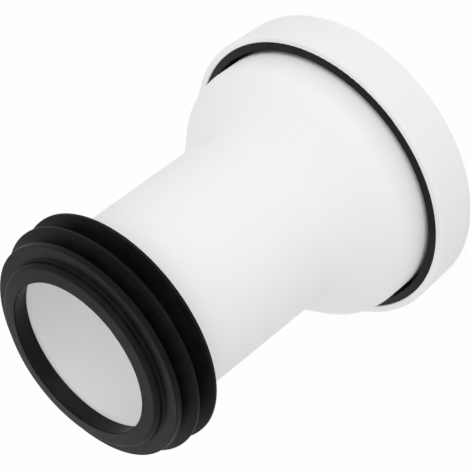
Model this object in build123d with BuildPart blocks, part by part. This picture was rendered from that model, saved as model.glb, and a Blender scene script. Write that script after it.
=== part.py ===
from build123d import *
import os
from math import radians, tan

# A straight toilet pan connector, standing on the pan-side face of its collar.
# Origin: centre of that face. +Z runs along the waterway towards the finned spigot.
# Lengths are in millimetres and angles in degrees.

overall_length = 183.0

# White moulding: spigot tube, conical shoulder and socket in one even wall
tube_diameter = 90.0
wall = 3.0
crease_height = 67.0
crease_round = 2.0
shoulder_angle = 38.4
shoulder_round = 15.0
mouth_flange_reach = 1.6
mouth_flange_height = 3.0
mouth_edge_round = 0.6
bead_set_back = 14.0
bead_width = 4.0
bead_height = 0.9

# Collar: a cap ring that drafts outwards to its rim, with a snap ridge round its inside
collar_mouth_diameter = 114.0
collar_height = 24.2
collar_draft = 2.3
collar_wall = 3.4
collar_floor = 3.0
collar_base_round = 1.5
collar_rim_round = 1.0
collar_edge_round = 0.5
snap_ridge_level = 15.0
snap_ridge_width = 4.0
snap_ridge_reach = 0.8

# Pan seal: a channel over the mouth flange that stands clear of the socket above its grip,
# with a soft lip and a rib for the pan's outlet
seal_web = 3.0
mouth_ledge = 5.5
skirt_thickness = 2.8
skirt_grip = 5.0
skirt_set_in = 0.4
skirt_rise = 1.4
skirt_round = 0.8
lip_reach = 10.5
lip_height = 18.0
lip_land = 3.0
lip_thickness = 2.4
lip_root_round = 1.5
lip_edge_round = 0.5
rib_height = 8.0
rib_root_width = 5.0
rib_tip_width = 1.6
rib_reach = 2.2

# Outlet seal: a channel wrapped over the tube's end, with a domed nose and three swept-back fins
nose_thickness = 5.0
nose_step = 1.0
nose_slope = 7.0
nose_round = 2.2
bore_lip_reach = 4.2
bore_lip_round = 0.5
inner_leg_thickness = 1.4
inner_leg_length = 5.0
sleeve_thickness = 2.4
sleeve_tail = 4.0
front_fin_reach = 8.1
front_fin_edge_reach = 7.8
front_fin_set_back = 8.7
front_fin_sweep = 5.0
front_rim_width = 3.1
middle_fin_reach = 11.4
middle_fin_spacing = 7.4
rear_fin_reach = 11.9
rear_fin_spacing = 10.2
thin_fin_sweep = 20.0
thin_rim_width = 1.5
fin_back_sweep = 8.0
fin_rim_round = 0.4
fin_root_round = 1.0

# The rubber lies this far from the plastic walls that it grips
seal_fit = 0.1

tube_r = tube_diameter / 2
tube_end = overall_length - nose_thickness
mouth_r = collar_mouth_diameter / 2
socket_r = mouth_r + mouth_ledge + wall
flange_r = socket_r + mouth_flange_reach
body_foot = collar_floor + seal_web
flange_top = body_foot + mouth_flange_height
shoulder_foot = crease_height - (socket_r - tube_r) / tan(radians(shoulder_angle))
bead_foot = tube_end - bead_set_back - bead_width / 2
bead_head = bead_foot + bead_width
ridge_foot = snap_ridge_level - snap_ridge_width / 2
ridge_head = ridge_foot + snap_ridge_width
sleeve_r = tube_r + seal_fit + sleeve_thickness


def collar_inner_r(height):
    """Radius of the collar's drafted inside, one fit outside the seal's skirt."""
    skirt_foot_r = flange_r + seal_fit + skirt_thickness
    return skirt_foot_r + seal_fit + (height - collar_floor) * tan(radians(collar_draft))


def collar_outer_r(height):
    """Radius of the collar's outside, one wall out from its inside."""
    return collar_inner_r(height) + collar_wall


def skirt_outer_r(height):
    """Radius of the pan seal's outside, one fit inside the collar."""
    return collar_inner_r(height) - seal_fit


def lip_inner_r(height):
    """Radius of the pan seal's funnel, which narrows evenly from the mouth to the lip's land."""
    funnel_rise = body_foot + lip_height - lip_land - collar_floor
    return mouth_r - lip_reach * (height - collar_floor) / funnel_rise


def rounded_section(corners):
    """Draw a closed section from corners given as (radius, height, rounding)."""
    FilletPolyline(
        [(radius, height) for radius, height, _ in corners],
        radius=[rounding for _, _, rounding in corners],
        close=True,
    )


def bulge_section(foot, head, reach):
    """Draw a low bulge between two (radius, height) points of a wall, with its reach at the middle."""
    crown = ((foot[0] + head[0]) / 2 + reach, (foot[1] + head[1]) / 2)
    ThreePointArc(foot, crown, head)
    Line(head, foot)


def fin_corners(back_reach, front_reach, set_back, rim_width, front_sweep, front_root_r):
    """Corners of one fin, from its back root over its rim to its front root.

    Both reaches are measured from the tube's wall, to the back and front edges of the rim.
    """
    back_r = tube_r + back_reach
    front_r = tube_r + front_reach
    back = overall_length - set_back
    front = back + rim_width
    back_root = back + (back_r - sleeve_r) * tan(radians(fin_back_sweep))
    front_root = front + (front_r - front_root_r) * tan(radians(front_sweep))
    return [
        (sleeve_r, back_root, fin_root_round),
        (back_r, back, fin_rim_round),
        (front_r, front, fin_rim_round),
        (front_root_r, front_root, fin_root_round),
    ]


os.makedirs("parts", exist_ok=True)

# Body: one wall inside the line from the tube's end to the mouth, with the flange and bead
with BuildPart() as body:
    with BuildSketch(Plane.XZ):
        with BuildLine():
            outside = FilletPolyline(
                (tube_r, tube_end),
                (tube_r, crease_height),
                (socket_r, shoulder_foot),
                (socket_r, body_foot),
                radius=[crease_round, shoulder_round],
            )
            offset(outside, amount=wall, side=Side.RIGHT)
        make_face()
        with BuildLine():
            rounded_section(
                [
                    (socket_r - wall, body_foot, 0),
                    (flange_r, body_foot, mouth_edge_round),
                    (flange_r, flange_top, mouth_edge_round),
                    (socket_r - wall, flange_top, 0),
                ]
            )
        make_face()
        with BuildLine():
            bulge_section((tube_r, bead_foot), (tube_r, bead_head), bead_height)
        make_face()
    revolve(axis=Axis.Z)
body.part.label = "body"
export_step(body.part, "parts/body.step")

# Outlet seal: sleeve outside the tube with its fins, nose over the end, and a leg inside
with BuildPart() as outlet_seal:
    rear_fin_set_back = front_fin_set_back + middle_fin_spacing + rear_fin_spacing
    sleeve_foot = overall_length - rear_fin_set_back - sleeve_tail
    grip_r = tube_r + seal_fit
    leg_outer_r = tube_r - wall - seal_fit
    leg_inner_r = leg_outer_r - inner_leg_thickness
    leg_foot = tube_end - inner_leg_length
    bore_r = leg_outer_r - bore_lip_reach
    nose_r = tube_r + nose_step
    nose_edge = overall_length - (nose_r - bore_r) * tan(radians(nose_slope))
    groove_foot = bead_foot - seal_fit
    groove_head = bead_head + seal_fit
    rear_fin = fin_corners(
        rear_fin_reach,
        rear_fin_reach,
        rear_fin_set_back,
        thin_rim_width,
        thin_fin_sweep,
        sleeve_r,
    )
    middle_fin = fin_corners(
        middle_fin_reach,
        middle_fin_reach,
        front_fin_set_back + middle_fin_spacing,
        thin_rim_width,
        thin_fin_sweep,
        sleeve_r,
    )
    front_fin = fin_corners(
        front_fin_reach,
        front_fin_edge_reach,
        front_fin_set_back,
        front_rim_width,
        front_fin_sweep,
        nose_r,
    )
    with BuildSketch(Plane.XZ):
        with BuildLine():
            rounded_section(
                [
                    (grip_r, sleeve_foot, 0),
                    (sleeve_r, sleeve_foot, fin_rim_round),
                    *rear_fin,
                    *middle_fin,
                    *front_fin,
                    (nose_r, nose_edge, nose_round),
                    (bore_r, overall_length, bore_lip_round),
                    (leg_inner_r, leg_foot, fin_rim_round),
                    (leg_outer_r, leg_foot, 0),
                    (leg_outer_r, tube_end, 0),
                    (grip_r, tube_end, 0),
                ]
            )
        make_face()
        with BuildLine():
            bulge_section((grip_r, groove_foot), (grip_r, groove_head), bead_height)
        make_face(mode=Mode.SUBTRACT)
    revolve(axis=Axis.Z)
outlet_seal.part.label = "outlet_seal"
export_step(outlet_seal.part, "parts/outlet_seal.step")

# Pan seal: skirt, grip and web round the mouth flange, then a funnel with a rib and an end lip
with BuildPart() as pan_seal:
    skirt_r = flange_r + seal_fit
    skirt_edge = collar_height - skirt_set_in
    grip_r = socket_r + seal_fit
    snap_foot = ridge_foot - seal_fit
    snap_head = ridge_head + seal_fit
    groove_top = flange_top + seal_fit
    grip_top = groove_top + skirt_grip
    lip_r = mouth_r - lip_reach
    lip_top = body_foot + lip_height
    rib_middle = collar_floor + rib_height
    rib_r = lip_inner_r(rib_middle) - rib_reach
    rib_root_top = rib_middle + rib_root_width / 2
    rib_root_foot = rib_middle - rib_root_width / 2
    with BuildSketch(Plane.XZ):
        with BuildLine():
            rounded_section(
                [
                    (mouth_r, collar_floor, lip_edge_round),
                    (skirt_outer_r(collar_floor), collar_floor, skirt_round),
                    (skirt_outer_r(skirt_edge), skirt_edge, skirt_round),
                    (skirt_r, skirt_edge + skirt_rise, lip_edge_round),
                    (skirt_r, grip_top, 0),
                    (grip_r, grip_top, lip_edge_round),
                    (grip_r, groove_top, 0),
                    (skirt_r, groove_top, 0),
                    (skirt_r, body_foot, 0),
                    (mouth_r + lip_thickness, body_foot, lip_root_round),
                    (lip_r + lip_thickness, lip_top, lip_edge_round),
                    (lip_r, lip_top, lip_edge_round),
                    (lip_r, lip_top - lip_land, lip_edge_round),
                    (lip_inner_r(rib_root_top), rib_root_top, lip_edge_round),
                    (rib_r, rib_middle + rib_tip_width / 2, lip_edge_round),
                    (rib_r, rib_middle - rib_tip_width / 2, lip_edge_round),
                    (lip_inner_r(rib_root_foot), rib_root_foot, lip_edge_round),
                ]
            )
        make_face()
        with BuildLine():
            bulge_section(
                (skirt_outer_r(snap_foot), snap_foot),
                (skirt_outer_r(snap_head), snap_head),
                -snap_ridge_reach,
            )
        make_face(mode=Mode.SUBTRACT)
    revolve(axis=Axis.Z)
pan_seal.part.label = "pan_seal"
export_step(pan_seal.part, "parts/pan_seal.step")

# Collar: cap over the seal, held by the snap ridge in the skirt's groove
with BuildPart() as collar:
    with BuildSketch(Plane.XZ):
        with BuildLine():
            rounded_section(
                [
                    (mouth_r, 0, collar_edge_round),
                    (collar_outer_r(0), 0, collar_base_round),
                    (collar_outer_r(collar_height), collar_height, collar_rim_round),
                    (collar_inner_r(collar_height), collar_height, collar_edge_round),
                    (collar_inner_r(collar_floor), collar_floor, collar_edge_round),
                    (mouth_r, collar_floor, collar_edge_round),
                ]
            )
        make_face()
        with BuildLine():
            bulge_section(
                (collar_inner_r(ridge_foot), ridge_foot),
                (collar_inner_r(ridge_head), ridge_head),
                -snap_ridge_reach,
            )
        make_face()
    revolve(axis=Axis.Z)
collar.part.label = "collar"
export_step(collar.part, "parts/collar.step")
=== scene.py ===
from math import radians

import bpy
from mathutils import Matrix, Vector


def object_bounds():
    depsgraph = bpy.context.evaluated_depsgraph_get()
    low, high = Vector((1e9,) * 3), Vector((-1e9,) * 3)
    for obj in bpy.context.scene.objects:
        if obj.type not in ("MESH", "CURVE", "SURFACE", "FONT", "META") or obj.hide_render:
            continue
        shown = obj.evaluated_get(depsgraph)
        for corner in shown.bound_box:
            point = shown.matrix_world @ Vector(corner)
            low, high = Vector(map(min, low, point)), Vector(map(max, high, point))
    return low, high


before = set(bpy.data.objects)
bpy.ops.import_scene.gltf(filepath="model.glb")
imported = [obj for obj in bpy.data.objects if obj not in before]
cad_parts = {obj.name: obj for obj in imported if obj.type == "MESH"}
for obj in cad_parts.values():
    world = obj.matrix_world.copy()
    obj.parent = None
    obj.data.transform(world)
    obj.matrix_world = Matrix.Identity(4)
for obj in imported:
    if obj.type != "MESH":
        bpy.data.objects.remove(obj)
cad_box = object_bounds()


# Body: spigot tube, shoulder and socket, injection moulded as one wall of white polypropylene.
# The mould leaves a soft satin sheen, and the melt faint flow marks along the tube.
# Nothing is fixed to it: the two rubber seals are stretched over its ends.
def fill(node, inputs):
    """Give a node's inputs their constants, or link them to the sockets that vary over a surface."""
    for name, value in inputs.items():
        if isinstance(value, Socket):
            value.tree.links.new(value.output, node.inputs[name])
        else:
            node.inputs[name].default_value = value


class Socket:
    """A socket in a node tree: arithmetic on it adds Math nodes, and node() adds any other node."""

    def __init__(self, tree, output=None):
        self.tree = tree
        self.output = output

    def node(self, kind, settings, inputs, output=0):
        """Add a node: its settings are made first, then its inputs take their values or links."""
        added = self.tree.nodes.new(kind)
        for name, value in settings.items():
            setattr(added, name, value)
        fill(added, inputs)
        return Socket(self.tree, added.outputs[output])

    def math(self, operation, first, second):
        return self.node("ShaderNodeMath", {"operation": operation}, {0: first, 1: second})

    def __add__(self, other):
        return self.math("ADD", self, other)

    def __sub__(self, other):
        return self.math("SUBTRACT", self, other)

    def __rsub__(self, other):
        return self.math("SUBTRACT", other, self)

    def __mul__(self, other):
        return self.math("MULTIPLY", self, other)

    __radd__ = __add__
    __rmul__ = __mul__


def new_finish(name):
    """A new material, its shader, and a first socket to work out what varies over the surface."""
    material = bpy.data.materials.new(name)
    material.use_nodes = True
    return material, material.node_tree.nodes["Principled BSDF"], Socket(material.node_tree)


def noise(shade, place, seed, scale, detail):
    """Even noise from 0 to 1 over a place, with its features about 1 / scale metres across."""
    settings = {"noise_dimensions": "4D"}
    inputs = {"Vector": place, "W": seed, "Scale": scale, "Detail": detail}
    return shade.node("ShaderNodeTexNoise", settings, inputs)


def blend_colours(shade, factor, first, second):
    """The first colour where the factor is 0, the second where it is 1, and a mix between.

    A Mix node has other kinds of sockets under the same names, so its colour sockets are numbered.
    """
    factor_in, first_in, second_in, colour_out = 0, 6, 7, 2
    inputs = {factor_in: factor, first_in: (*first, 1), second_in: (*second, 1)}
    return shade.node("ShaderNodeMix", {"data_type": "RGBA"}, inputs, colour_out)


def polypropylene(name, seed):
    """Satin white plastic: tone and gloss wander along the melt's flow, over a fine orange peel."""
    white, flow_grey = (0.945, 0.945, 0.945), (0.93, 0.93, 0.93)
    smoothest, flow_dulling = 0.45, 0.1
    along_the_flow = (1, 1, 0.2)
    peel_depth = 0.00003
    material, shader, shade = new_finish(name)
    place = shade.node("ShaderNodeTexCoord", {}, {}, "Object")
    drawn_out = shade.node("ShaderNodeMapping", {}, {"Vector": place, "Scale": along_the_flow})
    flow = noise(shade, drawn_out, seed, scale=50, detail=4)
    peel = noise(shade, place, seed, scale=1100, detail=2)
    bump = {"Strength": 0.15, "Distance": peel_depth, "Height": peel}
    fill(
        shader,
        {
            "Base Color": blend_colours(shade, flow, white, flow_grey),
            "Roughness": smoothest + flow_dulling * flow,
            "Specular IOR Level": 0.08,
            "Normal": shade.node("ShaderNodeBump", {}, bump),
        },
    )
    return material


def dress(node, material):
    """Give a CAD node's object one material."""
    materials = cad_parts[node].data.materials
    materials.clear()
    materials.append(material)


dress("body", polypropylene("white_polypropylene", seed=1.0))


# Outlet seal: one moulding of black rubber with three fins, rolled over the tube's end.
# It is a soft black: a pale bloom has come to its surface, and the mould's fine grain shows.
# The fins are swept back, so that they slide into a soil pipe and press on its wall.
def black_rubber(name, seed, black, bloom):
    """Soft black rubber: bloom lifts the black in patches and faint rings, over a fine grain.

    The rings are noise over radius and height, and a little of the place keeps them from closing.
    """
    smoothest, bloom_dulling = 0.36, 0.24
    share_astray = 0.08
    mean_noise = 0.5
    grain_depth = 0.00004
    material, shader, shade = new_finish(name)
    place = shade.node("ShaderNodeTexCoord", {}, {}, "Object")
    across = shade.node("ShaderNodeVectorMath", {"operation": "MULTIPLY"}, {0: place, 1: (1, 1, 0)})
    radius = shade.node("ShaderNodeVectorMath", {"operation": "LENGTH"}, {0: across}, "Value")
    height = shade.node("ShaderNodeSeparateXYZ", {}, {0: place}, "Z")
    section = shade.node("ShaderNodeCombineXYZ", {}, {"X": radius, "Z": height})
    astray = shade.node("ShaderNodeVectorMath", {"operation": "SCALE"}, {0: place, "Scale": share_astray})
    round_axis = shade.node("ShaderNodeVectorMath", {"operation": "ADD"}, {0: section, 1: astray})
    patches = noise(shade, place, seed, scale=160, detail=5)
    rings = noise(shade, round_axis, seed, scale=420, detail=3)
    dusting = patches + rings - mean_noise
    grain = noise(shade, place, seed, scale=2600, detail=2)
    bump = {"Strength": 0.2, "Distance": grain_depth, "Height": grain}
    fill(
        shader,
        {
            "Base Color": blend_colours(shade, dusting, black, bloom),
            "Roughness": smoothest + bloom_dulling * dusting,
            "Specular IOR Level": 0.09,
            "Normal": shade.node("ShaderNodeBump", {}, bump),
        },
    )
    return material


outlet_black, outlet_bloom = (0.0005, 0.0005, 0.0005), (0.011, 0.011, 0.011)
outlet_rubber = black_rubber("outlet_seal_rubber", seed=3.0, black=outlet_black, bloom=outlet_bloom)
dress("outlet_seal", outlet_rubber)


# Pan seal: black rubber moulded as a channel round the socket's mouth, gripped by the collar.
# Its skirt shows as the black ring on the body; the funnel and lip inside close on the pan's outlet.
# It has the outlet seal's finish, with a lighter black and a lighter bloom.
ring_black, ring_bloom = (0.008, 0.008, 0.008), (0.022, 0.022, 0.022)
ring_rubber = black_rubber("pan_seal_rubber", seed=8.0, black=ring_black, bloom=ring_bloom)
dress("pan_seal", ring_rubber)


# Collar: a white polypropylene cap ring, moulded in the body's white and pushed over the pan seal.
# Its snap ridge holds in the seal's groove, and its flat face is what the connector stands on.
dress("collar", polypropylene("collar_polypropylene", seed=5.0))


# Ground: a plain white studio floor under the collar, with white all round beyond it.
# Both look white to the camera and in reflections, and the floor keeps a faint shadow.
def seen_directly(shade):
    """1 for rays that show the ground, to the camera or in a reflection, and 0 for its light."""
    rays = ["Is Camera Ray", "Is Glossy Ray", "Is Transmission Ray"]
    camera, glossy, through = [shade.node("ShaderNodeLightPath", {}, {}, ray) for ray in rays]
    return shade.math("MAXIMUM", camera, shade.math("MAXIMUM", glossy, through))


floor_reach = 3.0
floor_tone = (0.9, 0.9, 0.9, 1)
white_light = (1, 1, 1, 1)
shadow_share = 0.05
floor_mesh = bpy.data.meshes.new("floor")
corner_signs = [(-1, -1), (1, -1), (1, 1), (-1, 1)]
floor_corners = [(x * floor_reach, y * floor_reach, 0) for x, y in corner_signs]
floor_mesh.from_pydata(floor_corners, [], [(0, 1, 2, 3)])
floor = bpy.data.objects.new("floor", floor_mesh)
bpy.context.scene.collection.objects.link(floor)

floor_white, floor_shader, floor_shade = new_finish("floor_white")
fill(floor_shader, {"Base Color": floor_tone, "Roughness": 0.9})
paper = Socket(floor_white.node_tree, floor_shader.outputs["BSDF"])
glow = floor_shade.node("ShaderNodeEmission", {}, {"Color": white_light, "Strength": 1.0})
whitened = seen_directly(floor_shade) * (1 - shadow_share)
ground = floor_shade.node("ShaderNodeMixShader", {}, {0: whitened, 1: paper, 2: glow})
fill(floor_white.node_tree.nodes["Material Output"], {"Surface": ground})
floor_mesh.materials.append(floor_white)

# Light: even white light from all round, a broad soft panel beside the camera and a small one behind.
# A lamp under the collar stands for the light that an open pan end lets into the waterway.
room_strength = 0.67
room = bpy.data.worlds.new("room")
room.use_nodes = True
room_shade = Socket(room.node_tree)
room_light = room_strength + (1 - room_strength) * seen_directly(room_shade)
fill(room.node_tree.nodes["Background"], {"Color": white_light, "Strength": room_light})
bpy.context.scene.world = room


def lamp(name, place, towards, shape, size, energy):
    """A flat lamp at a place, shining towards another; its size is in metres and energy in watts."""
    light = bpy.data.lights.new(name, "AREA")
    light.shape = shape
    light.size = size
    light.energy = energy
    carrier = bpy.data.objects.new(name, light)
    carrier.location = place
    carrier.rotation_euler = (towards - place).to_track_quat("-Z", "Y").to_euler()
    bpy.context.scene.collection.objects.link(carrier)


middle = (cad_box[0] + cad_box[1]) / 2
panel_distance = 1.5
front_panel = middle + panel_distance * Vector((0.26, -0.865, 0.42)).normalized()
back_panel = middle + panel_distance * Vector((-0.02, 0.75, 0.66)).normalized()
pan_end, far_wall = Vector((0.03, -0.015, 0.002)), Vector((-0.02, 0.01, 0.15))
lamp("front_panel", front_panel, middle, shape="SQUARE", size=2.2, energy=10.4)
lamp("back_panel", back_panel, middle, shape="SQUARE", size=0.4, energy=2.6)
lamp("pan_end_lamp", pan_end, far_wall, shape="DISK", size=0.04, energy=0.07)

# Camera: a long lens that looks down on the standing connector, rolled so that it seems to lie.
camera_place = Vector((0, -0.7464, 0.5822))
camera_aim = Vector((0.00128, 0.00002, 0.07954))
camera_roll = radians(-127.284)
camera_lens = bpy.data.cameras.new("camera")
camera_lens.lens = 151.5
camera_lens.sensor_width = 36
camera = bpy.data.objects.new("camera", camera_lens)
sight = (camera_aim - camera_place).to_track_quat("-Z", "Y").to_matrix().to_4x4()
camera.matrix_world = Matrix.Translation(camera_place) @ sight @ Matrix.Rotation(camera_roll, 4, "Z")
bpy.context.scene.collection.objects.link(camera)
bpy.context.scene.camera = camera
bpy.context.scene.view_settings.view_transform = "Standard"
